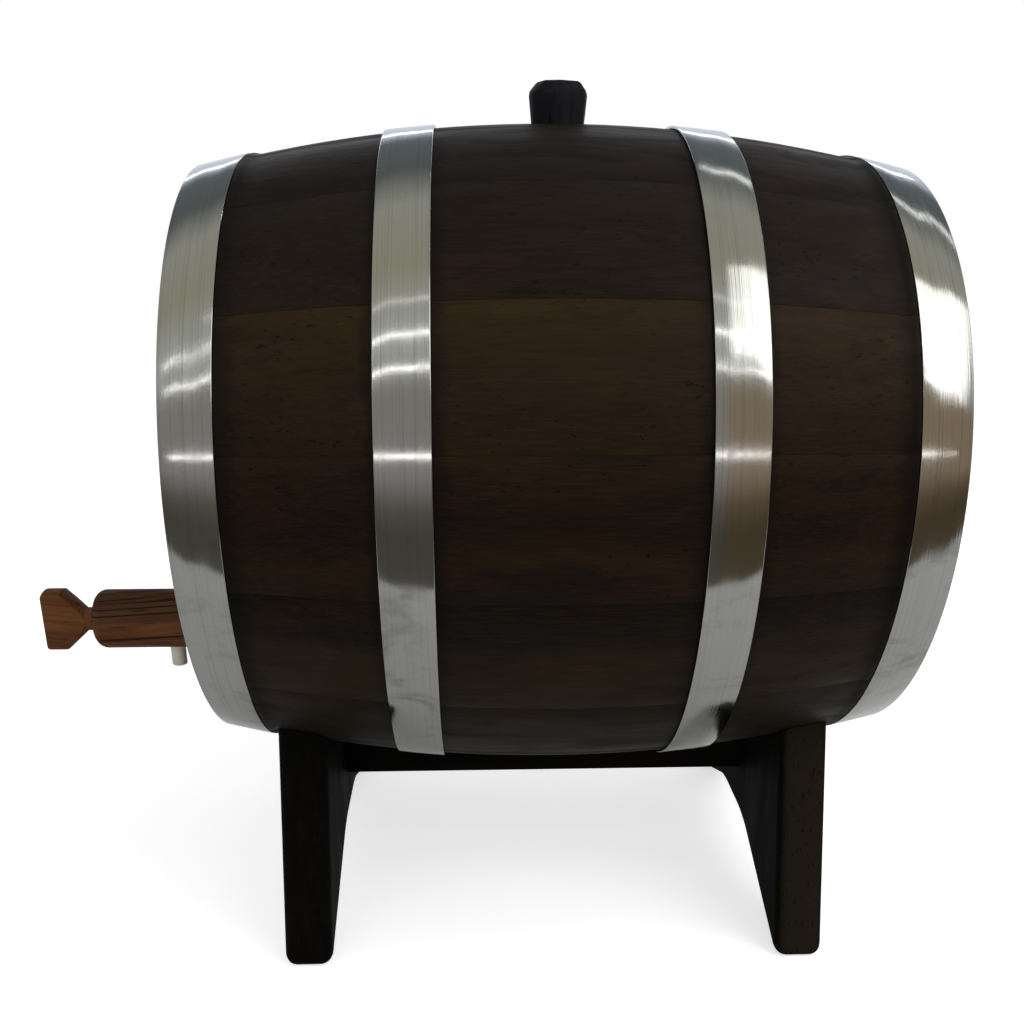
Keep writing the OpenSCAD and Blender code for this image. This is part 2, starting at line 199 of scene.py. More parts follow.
class StageSettings(bpy.types.PropertyGroup):
    """The studio round the cask"""

    daylight: FloatProperty(name="Daylight", description="Strength of the even light", default=0.44)
    floor_glow: FloatProperty(name="Floor glow", description="Light added to the seen floor", default=0.62)
    lamp_power: FloatProperty(
        name="Lamp power", description="Power of the window lamp", default=10, unit="POWER"
    )
    strip_power: FloatProperty(
        name="Strip power", description="Power that the strip lamps share out", default=1.4, unit="POWER"
    )
    floor_size: FloatProperty(name="Floor size", description="Width of the floor", default=3, unit="LENGTH")
    floor_front: FloatProperty(
        name="Floor front", description="Floor in front of the cask's middle", default=0.41, unit="LENGTH"
    )


# ---- Modelling ----


def let_go():
    """Leaves edit mode and deselects everything."""
    if bpy.context.object and bpy.context.object.mode != "OBJECT":
        bpy.ops.object.mode_set(mode="OBJECT")
    bpy.ops.object.select_all(action="DESELECT")


def take(piece):
    """Makes a piece the one that operators work on."""
    let_go()
    piece.select_set(True)
    bpy.context.view_layer.objects.active = piece


def start_edit(piece):
    """Opens a piece in edit mode with everything selected."""
    take(piece)
    bpy.ops.object.mode_set(mode="EDIT")
    bpy.ops.mesh.select_all(action="SELECT")


def end_edit():
    bpy.ops.object.mode_set(mode="OBJECT")


def about(centre, turn):
    """A turn about a centre, as one matrix."""
    return Matrix.Translation(centre) @ turn @ Matrix.Translation(-centre)


def outline(name, corners, filled=True):
    """A flat outline: a circle with one corner for each of the given ones, moved onto them."""
    let_go()
    bpy.ops.mesh.primitive_circle_add(vertices=len(corners), fill_type="NGON" if filled else "NOTHING")
    piece = bpy.context.object
    piece.name = piece.data.name = name
    for vertex, corner in zip(piece.data.vertices, corners):
        vertex.co = corner
    return piece


def spin(piece, centre, axis, angle=FULL_TURN, steps=96):
    """Spins an outline about an axis and closes what it makes."""
    start_edit(piece)
    bpy.ops.mesh.spin(steps=steps, angle=angle, center=centre, axis=axis)
    tidy_up()
    end_edit()


def tidy_up():
    """Merges what touches in edit mode, drops what hangs loose and turns all faces outwards."""
    bpy.ops.mesh.select_all(action="SELECT")
    bpy.ops.mesh.remove_doubles(threshold=MERGED)
    bpy.ops.mesh.delete_loose(use_verts=True, use_edges=True, use_faces=False)
    bpy.ops.mesh.select_all(action="SELECT")
    bpy.ops.mesh.normals_make_consistent(inside=False)


def select_edges(piece, wanted):
    """Selects, in edit mode, the edges for which wanted(one end, other end) holds."""
    bpy.ops.mesh.select_all(action="DESELECT")
    bpy.ops.mesh.select_mode(type="EDGE")
    shape = bmesh.from_edit_mesh(piece.data)
    for edge in shape.edges:
        edge.select_set(wanted(edge.verts[0].co, edge.verts[1].co))
    bmesh.update_edit_mesh(piece.data)


def bevel_edges(piece, wanted, width, segments=2):
    """Rounds the edges for which wanted(one end, other end) holds."""
    start_edit(piece)
    select_edges(piece, wanted)
    bpy.ops.mesh.bevel(offset=width, segments=segments, affect="EDGES", clamp_overlap=True)
    end_edit()


def apply_modifier(piece, kind, **settings):
    """Adds a modifier to a piece and applies it."""
    take(piece)
    modifier = piece.modifiers.new(kind.title(), kind)
    for key, value in settings.items():
        setattr(modifier, key, value)
    bpy.ops.object.modifier_apply(modifier=modifier.name)


def round_edges(piece, width, angle, segments=2):
    """Rounds all edges at which faces meet at more than an angle, in degrees."""
    apply_modifier(
        piece, "BEVEL", width=width, segments=segments, limit_method="ANGLE", angle_limit=math.radians(angle)
    )


def cut(piece, cutter):
    """Takes one closed shape out of another."""
    apply_modifier(piece, "BOOLEAN", operation="DIFFERENCE", solver="EXACT", object=cutter)
    bpy.data.objects.remove(cutter)


def smooth(piece, angle=40):
    """Shades a piece smooth, but for edges sharper than an angle, in degrees."""
    take(piece)
    bpy.ops.object.shade_smooth_by_angle(angle=math.radians(angle))


def turned_copy(piece, name, angle):
    """A copy with its own mesh, turned about the cask's axis."""
    copy = piece.copy()
    copy.data = piece.data.copy()
    copy.name = copy.data.name = name
    bpy.context.scene.collection.objects.link(copy)
    copy.data.transform(about(CENTRE, Matrix.Rotation(angle, 4, "X")))
    return copy


def cut_box(piece, middle, size):
    """Takes a box out of a piece."""
    let_go()
    bpy.ops.mesh.primitive_cube_add(size=1)
    box = bpy.context.object
    box.data.transform(Matrix.Translation(middle) @ Matrix.Diagonal((*size, 1)))
    cut(piece, box)


def copy_of_node(node, name):
    """A merged copy of a CAD node's mesh, to be finished further."""
    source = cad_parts[node]
    copy = bpy.data.objects.new(name, source.data.copy())
    copy.data.materials.clear()
    bpy.context.scene.collection.objects.link(copy)
    start_edit(copy)
    bpy.ops.mesh.remove_doubles(threshold=MERGED)
    bpy.ops.mesh.select_all(action="SELECT")
    bpy.ops.mesh.dissolve_limited(angle_limit=math.radians(0.5))
    end_edit()
    return copy


def paint(piece, materials):
    """Gives a piece its materials."""
    piece.data.materials.clear()
    for material in materials:
        piece.data.materials.append(material)


def paint_node(node, material):
    """Gives a CAD node that stays its material."""
    paint(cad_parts[node], [material])


def finish_piece(piece, body, slot, materials, *nodes):
    """Paints a piece, rides it on its body and hides the CAD nodes that it stands for."""
    paint(piece, materials)
    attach(piece, body)
    if nodes:
        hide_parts(*nodes)


# ---- Materials ----


class Nodes:
    """Adds the nodes of a material or of the surroundings, a call at a time"""

    def __init__(self, tree):
        self.tree = tree

    def node(self, kind, settings=None, **inputs):
        """Adds a node with its settings; an input's name is written with _ for a space."""
        made = self.tree.nodes.new(kind)
        for key, value in (settings or {}).items():
            setattr(made, key, value)
        for key, value in inputs.items():
            self.put(made.inputs[key.replace("_", " ")], value)
        return made

    def put(self, socket, value):
        """Links an output into a socket, or sets the socket to a value."""
        if isinstance(value, bpy.types.NodeSocket):
            self.tree.links.new(value, socket)
        elif socket.type == "RGBA" and len(value) == 3:
            socket.default_value = (*value, 1)
        else:
            socket.default_value = value

    def ramp(self, value, low, high, out_low=0.0, out_high=1.0, smooth=True):
        """Turns the range from low to high into the one from out_low to out_high, and holds it beyond."""
        made = self.node("ShaderNodeMapRange", {"interpolation_type": "SMOOTHSTEP" if smooth else "LINEAR"})
        for socket, what in zip(made.inputs, (value, low, high, out_low, out_high)):
            self.put(socket, what)
        return made.outputs["Result"]

    def math(self, operation, a, b=0.0):
        made = self.node("ShaderNodeMath", {"operation": operation})
        self.put(made.inputs[0], a)
        self.put(made.inputs[1], b)
        return made.outputs["Value"]

    def times(self, a, b):
        return self.math("MULTIPLY", a, b)

    def mix(self, amount, a, b, blend="MIX"):
        made = self.node("ShaderNodeMix", {"data_type": "RGBA", "blend_type": blend})
        for place, value in ((0, amount), (6, a), (7, b)):
            self.put(made.inputs[place], value)
        return made.outputs[2]

    def bands(self, value, stops):
        """Colours that follow each other along a value, from (place, colour) pairs."""
        made = self.node("ShaderNodeValToRGB", Fac=value)
        points = made.color_ramp.elements
        while len(points) < len(stops):
            points.new(0.5)
        for point, (place, colour) in zip(points, stops):
            point.position = place
            point.color = (*colour, 1)
        return made.outputs["Color"]

    def axis(self, vector, letter):
        made = self.node("ShaderNodeSeparateXYZ")
        self.put(made.inputs[0], vector)
        return made.outputs[letter]


class Finish(Nodes):
    """The nodes of one material, and what makes up its surface"""

    def __init__(self, name, metallic=0.0, roughness=0.5):
        self.material = bpy.data.materials.new(name)
        self.material.use_nodes = True
        super().__init__(self.material.node_tree)
        self.shader = self.tree.nodes["Principled BSDF"]
        self.put(self.shader.inputs["Metallic"], metallic)
        self.put(self.shader.inputs["Roughness"], roughness)
        self.coords = self.node("ShaderNodeTexCoord").outputs
        self.on_piece = self.coords["Object"]

    def placed(self, centre=(0, 0, 0), turn=(0, 0, 0)):
        """Coordinates on a piece, in metres, from a centre and turned with the piece."""
        made = self.node("ShaderNodeMapping", {"vector_type": "TEXTURE"}, Location=centre, Rotation=turn)
        self.put(made.inputs["Vector"], self.on_piece)
        return made.outputs["Vector"]

    def noise(self, vector, scale, shift=0.0, detail=3.0, roughness=0.5, distortion=0.0):
        """Noise with so many grains to a metre along each axis; another shift gives another pattern."""
        place = self.node("ShaderNodeMapping", Scale=scale, Location=(shift, shift * 0.7, shift * 1.3))
        self.put(place.inputs["Vector"], vector)
        made = self.node(
            "ShaderNodeTexNoise", Scale=1.0, Detail=detail, Roughness=roughness, Distortion=distortion
        )
        self.put(made.inputs["Vector"], place.outputs["Vector"])
        return made.outputs["Fac"]

    def over(self, colour, other, mask, low, high, most=1.0):
        """Lays another colour over one where a mask lies above low, up to a share of it above high."""
        return self.mix(self.ramp(mask, low, high, 0.0, most), colour, other)

    def surface(self, colour, height, depth, strength, rough=None, gloss=None):
        """Gives the shader its colour, its relief, and where stated its roughness and level of gloss."""
        self.put(self.shader.inputs["Base Color"], colour)
        relief = self.node("ShaderNodeBump", Strength=strength, Distance=depth, Height=height)
        self.put(self.shader.inputs["Normal"], relief.outputs["Normal"])
        if rough is not None:
            self.put(self.shader.inputs["Roughness"], rough)
        if gloss is not None:
            self.put(self.shader.inputs["Specular IOR Level"], gloss)
        return self.material


# Stain of the staves, from the top one towards the front and over again: tones from a stave's upper to
# its lower edge, and how many dark patches it has
STAVE_TONES = (
    (((0.0, (25, 19, 17)), (0.5, (30, 23, 20)), (1.0, (26, 20, 17))), 0.4),
    (((0.0, (26, 20, 17)), (0.5, (30, 23, 20)), (1.0, (25, 19, 16))), 0.45),
    (((0.0, (29, 22, 18)), (0.45, (26, 19, 15)), (1.0, (28, 20, 14))), 0.4),
    (((0.0, (44, 32, 15)), (0.35, (40, 28, 12)), (0.7, (35, 24, 10)), (1.0, (38, 26, 11))), 0.15),
    (
        ((0.0, (36, 22, 8)), (0.3, (31, 19, 7)), (0.5, (23, 15, 7)), (0.72, (36, 24, 9)), (1.0, (19, 13, 7))),
        0.6,
    ),
    (((0.0, (15, 10, 5)), (0.26, (17, 12, 5)), (0.42, (34, 23, 7)), (1.0, (31, 22, 6))), 0.3),
    (((0.0, (24, 17, 6)), (0.6, (20, 14, 5)), (1.0, (13, 9, 4))), 0.3),
)
# Lighter and darker tone of every other head board
HEAD_TONES = (((30, 22, 13), (44, 33, 20)), ((26, 19, 12), (37, 27, 16)))
# Painted shade and dirt beside the hoops: a hoop's edge, the way from it that is shaded, how far, and how
# dark
HOOP_SHADES = (
    (BILGE_HOOP[0], 1, 7 * MM, 0.6),
    (BILGE_HOOP[1], -1, 5 * MM, 0.5),
    (CHIME_HOOP[0], 1, 11 * MM, 0.75),
)


def oak_layers(finish, local, colour, shift, patchy):
    """Patches, pores and faint grain of stained oak, whose grain runs along the first axis of local."""
    cloud = finish.noise(local, (11, 26, 26), shift, 3, 0.55, 0.3)
    tint = finish.noise(local, (24, 70, 70), shift + 4, 3, 0.6, 0.4)
    blotch = finish.noise(local, (22, 85, 85), shift + 9, 4, 0.6, 0.5)
    streaks = finish.noise(local, (9, 420, 420), shift + 3, 5, 0.6, 0.25)
    fine = finish.noise(local, (60, 1500, 1500), shift + 5, 3, 0.6)
    fleck = finish.noise(local, (260, 560, 560), shift + 12, 2, 0.5, 0.3)
    pore = finish.noise(local, (160, 1700, 1700), shift + 15, 2, 0.5)
    crowd = finish.noise(local, (16, 40, 40), shift + 18, 2)
    colour = finish.over(colour, linear(21, 15, 11), cloud, 0.35, 0.72, 0.5)
    colour = finish.over(colour, linear(46, 22, 17), tint, 0.50, 0.72, 0.30)
    colour = finish.over(colour, linear(17, 13, 11), blotch, 0.52, 0.64, patchy)
    colour = finish.over(colour, linear(15, 11, 8), streaks, 0.44, 0.72, 0.18)
    colour = finish.over(colour, linear(80, 62, 40), fine, 0.42, 0.68, 0.08)
    flecks = finish.times(finish.ramp(fleck, 0.64, 0.70), finish.ramp(crowd, 0.42, 0.58))
    pores = finish.math("MAXIMUM", flecks, finish.ramp(pore, 0.68, 0.74, 0.0, 0.5))
    colour = finish.mix(finish.times(pores, 0.7), colour, linear(8, 5, 4))
    height = finish.math("ADD", finish.times(streaks, 0.5), finish.times(fine, 0.25))
    height = finish.math("SUBTRACT", height, finish.times(pores, 0.6))
    return colour, height, blotch


def stave_finish(number):
    """Dark stained oak of one stave, with painted shade and dirt along the hoops' edges."""
    tones, patchy = STAVE_TONES[(number - 1) % len(STAVE_TONES)]
    shift = 5.3 * number
    finish = Finish(f"stained_oak_{number:02d}")
    local = finish.placed(CENTRE, ((number - 1) * STAVE_ANGLE, 0, 0))
    wave = finish.noise(local, (8, 16, 16), shift, 3, 0.6, 0.4)
    across = finish.ramp(finish.axis(local, "Y"), STAVE_WIDTH / 2, -STAVE_WIDTH / 2, smooth=False)
    across = finish.math("ADD", across, finish.ramp(wave, 0.25, 0.75, -0.16, 0.16, smooth=False))
    base = finish.bands(across, [(place, linear(*tone)) for place, tone in tones])
    colour, height, blotch = oak_layers(finish, local, base, shift, patchy)
    ragged = finish.noise(local, (90, 160, 160), number, 3, 0.6)
    along = finish.math("ABSOLUTE", finish.axis(local, "X"))
    along = finish.math("ADD", along, finish.ramp(ragged, 0.3, 0.7, -2 * MM, 2 * MM, smooth=False))
    # Painted shade and dirt: the stave is made darker just beside each hoop
    shade = 0.0
    for edge, way, far, most in HOOP_SHADES:
        beside = finish.times(finish.math("SUBTRACT", edge, along), way)
        near = finish.ramp(beside, 1 * MM, far, most, 0.0)
        bare = finish.math("GREATER_THAN", beside, -4 * MM)
        shade = finish.math("MAXIMUM", shade, finish.times(near, bare))
    colour = finish.mix(shade, colour, linear(10, 8, 7))
    rough = finish.ramp(blotch, 0.3, 0.7, 0.45, 0.62)
    return finish.surface(colour, height, 0.3 * MM, 0.7, rough, gloss=0.06)


def end_grain_finish():
    """The sawn ends of the staves, with the rings and pores of end grain."""
    finish = Finish("stave_end_grain", roughness=0.75)
    local = finish.placed(CENTRE)
    rings = finish.noise(local, (40, 300, 300), 0, 4, 0.6, 0.4)
    pore = finish.noise(local, (900, 1400, 1400), 4, 2, 0.5)
    colour = finish.over(linear(24, 18, 12), linear(46, 34, 22), rings, 0.35, 0.65)
    colour = finish.over(colour, linear(10, 7, 6), pore, 0.58, 0.68, 0.8)
    return finish.surface(colour, finish.math("SUBTRACT", rings, pore), 0.3 * MM, 0.6, gloss=0.1)


def head_finish(number):
    """Stained oak of one head board, whose grain stands upright."""
    shift = 4.7 * number
    finish = Finish(f"head_oak_{number}")
    local = finish.placed(CENTRE, UPRIGHT)
    wave = finish.noise(local, (7, 30, 30), shift, 3, 0.6, 0.4)
    tones = [(place, linear(*tone)) for place, tone in enumerate(HEAD_TONES[number % 2])]
    base = finish.bands(finish.ramp(wave, 0.3, 0.7), tones)
    colour, height, blotch = oak_layers(finish, local, base, 20 + shift, 0.4)
    rough = finish.ramp(blotch, 0.3, 0.7, 0.48, 0.65)
    return finish.surface(colour, height, 0.3 * MM, 0.7, rough, gloss=0.08)


def steel_finish(settings):
    """Brushed steel: fine lines round the hoop, duller patches, and smudges that grow towards its foot."""
    finish = Finish("brushed_hoop_steel", metallic=1.0)
    lines = finish.noise(finish.on_piece, (2600, 6, 6), 0, 2, 0.6)
    broad = finish.noise(finish.on_piece, (170, 7, 7), 2, 3, 0.6)
    stain = finish.noise(finish.on_piece, (36, 42, 60), 7, 5, 0.65, 0.6)
    colour = finish.over(settings.steel, linear(96, 96, 92), lines, 0.45, 0.75, 0.3)
    low = finish.ramp(finish.axis(finish.on_piece, "Z"), AXIS_Z + 40 * MM, AXIS_Z - 70 * MM, 0.12, 0.5)
    smudge = finish.times(finish.ramp(stain, 0.50, 0.74), low)
    colour = finish.mix(smudge, colour, linear(70, 67, 58))
    rough = finish.ramp(stain, 0.45, 0.75, 0.09, 0.15)
    rough = finish.math("ADD", rough, finish.ramp(broad, 0.3, 0.7, 0.0, 0.03))
    return finish.surface(colour, lines, 0.05 * MM, 0.5, rough)


def stain_finish(name, stain, grain_turn, rubbed=0.2, roughness=0.5, painted_front_light=0.0):
    """Wood under a near-black stain, in which the grain still shows, rubbed paler here and there, and where
    asked with painted light on the faces that look to the front.
    """
    finish = Finish(name)
    local = finish.placed(turn=grain_turn)
    grain = finish.noise(local, (12, 340, 340), 0, 4, 0.6, 0.3)
    pore = finish.noise(local, (90, 1300, 1300), 3, 2, 0.5)
    rub = finish.noise(local, (14, 50, 50), 8, 4, 0.6, 0.5)
    colour = finish.over(stain, [tone * 1.8 for tone in stain], grain, 0.35, 0.7, 0.6)
    rubs_and_painted_light = finish.ramp(rub, 0.40, 0.70, 0.0, rubbed)
    # Painted light: faces that look to the front are made paler, up to the share given
    if painted_front_light:
        facing = finish.axis(finish.coords["Normal"], "Y")
        rubs_and_painted_light = finish.math("MAXIMUM", rubs_and_painted_light, finish.ramp(facing, -0.6, -0.95, 0.0, painted_front_light))
    colour = finish.mix(rubs_and_painted_light, colour, linear(38, 32, 24))
    colour = finish.over(colour, linear(4, 4, 4), pore, 0.6, 0.7, 0.8)
    rough = finish.ramp(rub, 0.3, 0.7, roughness, roughness + 0.16)
    return finish.surface(colour, finish.math("SUBTRACT", grain, pore), 0.2 * MM, 0.6, rough, gloss=0.015)


def tap_finish(settings, name="tap_wood", shift=0.0, slope=-3.0):
    """Bare brown wood with open pores, long dark lines in its upper half that climb towards the cask, and a
    painted reflection that greys its top.
    """
    finish = Finish(name)
    local = finish.placed((CASK_X, 0, TAP_Z), (0, math.radians(slope), 0))
    tone = finish.noise(local, (20, 90, 90), shift, 3, 0.6, 0.4)
    grain = finish.noise(local, (18, 620, 620), shift + 2, 5, 0.65, 0.35)
    line = finish.noise(local, (5, 110, 760), shift + 6, 2, 0.5, 0.2)
    pore = finish.noise(local, (90, 1400, 1400), shift + 9, 2, 0.5)
    above = finish.axis(local, "Z")
    lines = finish.times(finish.ramp(line, 0.53, 0.59), finish.ramp(above, -2 * MM, 4 * MM))
    pores = finish.ramp(pore, 0.64, 0.72)
    colour = finish.over(settings.tap_light, linear(98, 61, 35), tone, 0.3, 0.7)
    colour = finish.over(colour, linear(50, 29, 19), grain, 0.42, 0.72, 0.5)
    colour = finish.mix(finish.times(lines, 0.9), colour, settings.tap_dark)
    # Painted reflection: the top of the tap is turned dull grey
    colour = finish.mix(finish.times(finish.ramp(above, 10 * MM, 14 * MM), 0.35), colour, linear(44, 36, 34))
    colour = finish.mix(finish.times(pores, 0.6), colour, settings.tap_dark)
    rough = finish.ramp(tone, 0.3, 0.7, 0.5, 0.66)
    return finish.surface(colour, finish.math("SUBTRACT", grain, pores), 0.25 * MM, 0.7, rough, gloss=0.05)


def cork_finish():
    """Cork with its dark flecks."""
    finish = Finish("liner_cork", roughness=0.85)
    fleck = finish.noise(finish.on_piece, (900, 900, 900), 0, 3, 0.6)
    colour = finish.over(linear(170, 132, 92), linear(96, 62, 36), fleck, 0.5, 0.62)
    return finish.surface(colour, fleck, 0.3 * MM, 0.8)


def dowel_finish():
    """Bare beech of the dowels and of the key's pin."""
    finish = Finish("dowel_wood", roughness=0.6)
    grain = finish.noise(finish.on_piece, (700, 60, 700), 0, 4, 0.6)
    colour = finish.over(linear(176, 138, 96), linear(128, 92, 60), grain, 0.35, 0.7)
    return finish.surface(colour, grain, 0.2 * MM, 0.6)


def tube_finish(settings):
    """Milky plastic of the spout, a little yellowed by drink near its lip."""
    finish = Finish("spout_plastic")
    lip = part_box("tap_spout")[0].z
    cloud = finish.noise(finish.on_piece, (220, 220, 90), 0, 3, 0.5)
    near_lip = finish.ramp(finish.axis(finish.on_piece, "Z"), lip + 7 * MM, lip, 0.1, 0.7)
    yellowed = finish.times(near_lip, cloud)
    colour = finish.mix(yellowed, settings.tube_white, linear(205, 184, 146))
    finish.put(finish.shader.inputs["Subsurface Weight"], 0.25)
    finish.put(finish.shader.inputs["Subsurface Radius"], (1 * MM, 0.9 * MM, 0.7 * MM))
    return finish.surface(colour, cloud, 0.05 * MM, 0.4, finish.ramp(cloud, 0.3, 0.7, 0.26, 0.4))


def screw_finish():
    """Zinc plated screw heads, scratched by the driver."""
    finish = Finish("zinc_screw", metallic=1.0)
    scratch = finish.noise(finish.on_piece, (1200, 1200, 300), 0, 4, 0.7)
    colour = finish.over(linear(172, 172, 170), linear(110, 108, 104), scratch, 0.35, 0.65)
    return finish.surface(colour, scratch, 0.04 * MM, 0.5, finish.ramp(scratch, 0.3, 0.7, 0.24, 0.42))


# ---- Pieces ----


# The burr beside a chime hoop: distances from the hoop in mm, and shares of its height
BURR_SHAPE = ((0.15, 0.0), (0.3, 0.9), (1.3, 1.0), (2.9, 0.45), (5.0, 0.0))


def burr(x, height):
    """How far the wood stands up just inside a chime hoop, at a distance from the cask's middle."""
    inside = CHIME_HOOP[0] - abs(x)
    for (near, a), (far, b) in zip(BURR_SHAPE, BURR_SHAPE[1:]):
        if near * MM <= inside <= far * MM:
            return height * (a + (b - a) * (inside / MM - near) / (far - near))
    return 0.0


def stave_corners(settings):
    """Corners of a stave's side, at the top of the cask: bowed, with a croze and a chime at each end."""
    head_back, head = reach("back_head_board_3")
    croze = (head + head_back) / 2
    outer_rows, inner_rows = 28, 12
    places = [-HALF_LEN + 2 * HALF_LEN * i / outer_rows for i in range(outer_rows + 1)]
    for inside, _ in BURR_SHAPE:
        place = CHIME_HOOP[0] - inside * MM
        places += [-place, place]
    corners = [(x, outside_r(x) + burr(x, settings.burr)) for x in sorted(places)]
    corners.append((HALF_LEN, outside_r(HALF_LEN) - settings.chime_rim))
    step = head + settings.chime_step
    wall_out, wall_in = croze + settings.croze_w / 2, croze - settings.croze_w / 2
    under = outside_r(croze) - settings.stave_t
    half = [
        (step, outside_r(step) - settings.stave_t),
        (wall_out, under),
        (wall_out, under + settings.croze_depth),
        (wall_in, under + settings.croze_depth),
        (wall_in, under),
    ]
    corners += half
    for i in range(1, inner_rows):
        x = wall_in - 2 * wall_in * i / inner_rows
        corners.append((x, outside_r(x) - settings.stave_t))
    corners += [(-x, r) for x, r in reversed(half)]
    corners.append((-HALF_LEN, outside_r(HALF_LEN) - settings.chime_rim))
    return [Vector((CASK_X + x, 0, AXIS_Z + r)) for x, r in corners]


def is_stave_edge(a, b):
    """Whether an edge of the top stave is a long outer one, or one round its sawn ends."""
    half = STAVE_ANGLE / 2
    ends = []
    for p in (a, b):
        q = p - CENTRE
        angle = abs(math.atan2(q.y, q.z))
        out = math.hypot(q.y, q.z) > outside_r(min(abs(q.x), HALF_LEN)) - 0.05 * MM
        ends.append((abs(angle - half) < 1e-4 and out, abs(abs(q.x) - HALF_LEN) < 1e-6 and out))
    return (ends[0][0] and ends[1][0]) or (ends[0][1] and ends[1][1])


class CASK_OT_staves(bpy.types.Operator):
    """Makes the staves: one side spun through its share of the turn, then copied round the cask"""

    bl_idname = "cask.staves"
    bl_label = "Staves"

    def execute(self, context):
        settings = context.scene.cask
        first = outline("stave_pattern", stave_corners(settings))
        first.data.transform(about(CENTRE, Matrix.Rotation(STAVE_ANGLE / 2, 4, "X")))
        spin(first, CENTRE, (1, 0, 0), STAVE_ANGLE, 6)
        bevel_edges(first, is_stave_edge, settings.stave_edge)
        ends = end_grain_finish()
        for number, node in enumerate(STAVES, 1):
            stave = turned_copy(first, "oak_" + node, (number - 1) * STAVE_ANGLE)
            if node == "bung_stave":
                cut(stave, bung_hole())
            smooth(stave)
            finish_piece(stave, "cask", "stained_oak", [stave_finish(number), ends], node)
            for face in stave.data.polygons:
                face.material_index = int(abs(face.normal.x) > 0.9)
        bpy.data.objects.remove(first)
        return {"FINISHED"}


def bung_hole():
    """The bung's tapered hole, as a shape to cut away."""
    low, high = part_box("bung")
    let_go()
    radius, taper, above, deep = 11.3 * MM, 0.1, 10 * MM, 40 * MM
    bpy.ops.mesh.primitive_cone_add(
        vertices=96, radius1=radius - taper * deep, radius2=radius + taper * above, depth=above + deep,
        location=((low.x + high.x) / 2, 0, AXIS_Z + BILGE_R + (above - deep) / 2),
    )
    hole = bpy.context.object
    bpy.ops.object.transform_apply(location=True)
    return hole


def hoop_corners(node, settings):
    """Corners of a hoop strip's section, at the top of the cask."""
    places = [x for x, r in mesh_points(node)]
    low, high = min(places), max(places)
    gap, rows = 0.05 * MM, 3
    under = [low + (high - low) * i / rows for i in range(rows + 1)]
    corners = [(x, outside_r(x) + gap) for x in under]
    corners += [(x, outside_r(x) + gap + settings.hoop_t) for x in reversed(under)]
    return [Vector((CASK_X + x, 0, AXIS_Z + r)) for x, r in corners]


def hoop(node, settings):
    """A closed strip with rounded edges, and its outer end lapped over it."""
    corners = hoop_corners(node, settings)
    ends = (min(c.x for c in corners), max(c.x for c in corners))

    def is_rim(a, b):
        at_end = min(abs(a.x - end) for end in ends) < CLOSE and abs(a.x - b.x) < CLOSE
        return at_end and abs((a - CENTRE).length - (b - CENTRE).length) < CLOSE

    ring = outline("steel_" + node, corners, filled=False)
    spin(ring, CENTRE, (1, 0, 0), FULL_TURN, 160)
    bevel_edges(ring, is_rim, settings.hoop_edge, 3)
    overlap = 0.02 * MM
    lap = outline("lap", [c + Vector((0, 0, settings.hoop_t - overlap)) for c in corners])
    start = settings.lap_angle / 2 - settings.lap_place
    lap.data.transform(about(CENTRE, Matrix.Rotation(start, 4, "X")))
    spin(lap, CENTRE, (1, 0, 0), settings.lap_angle, 8)
    round_edges(lap, settings.hoop_edge, 40)
    take(ring)
    lap.select_set(True)
    bpy.ops.object.join()
    smooth(ring, 35)
    return ring


class CASK_OT_hoops(bpy.types.Operator):
    """Makes the four hoops: a section spun round the cask, with its lapped end"""

    bl_idname = "cask.hoops"
    bl_label = "Hoops"

    def execute(self, context):
        settings = context.scene.cask
        steel = steel_finish(settings)
        for node in ("front_chime_hoop", "front_bilge_hoop", "back_bilge_hoop", "back_chime_hoop"):
            finish_piece(hoop(node, settings), "cask", "hoop_steel", [steel], node)
        paint_node("hoop_rivets", steel)
        return {"FINISHED"}


class CASK_OT_heads(bpy.types.Operator):
    """Makes the head boards with softened joints, and paints the dowels between them"""

    bl_idname = "cask.heads"
    bl_label = "Heads"

    def execute(self, context):
        settings = context.scene.cask
        for end in ("front", "back"):
            for number in range(1, 6):
                node = f"{end}_head_board_{number}"
                board = copy_of_node(node, "oak_" + node)
                round_edges(board, settings.joint_edge, 30)
                smooth(board)
                shift = number + (5 if end == "back" else 0)
                finish_piece(board, "cask", "head_oak", [head_finish(shift)], node)
        dowel = dowel_finish()
        for node in ("front_head_dowels", "back_head_dowels"):
            paint_node(node, dowel)
        return {"FINISHED"}


# Rings of the bung: heights above the cask's outside and radii, in mm
BUNG_RINGS = (
    (-22.8, 7.8), (-21.4, 9.0), (-10, 10.2), (0, 11.2), (6, 11.8), (10.6, 12.25), (12.6, 11.9), (15.3, 9.9),
    (16, 8.9),
)
# Whittled cuts round its shoulder: direction and slope in degrees, and distance from its foot in mm
BUNG_CUTS = (
    (15, 40, 16.4), (78, 46, 16.6), (140, 38, 16.3), (198, 44, 16.7), (255, 36, 16.0), (300, 48, 16.9),
)


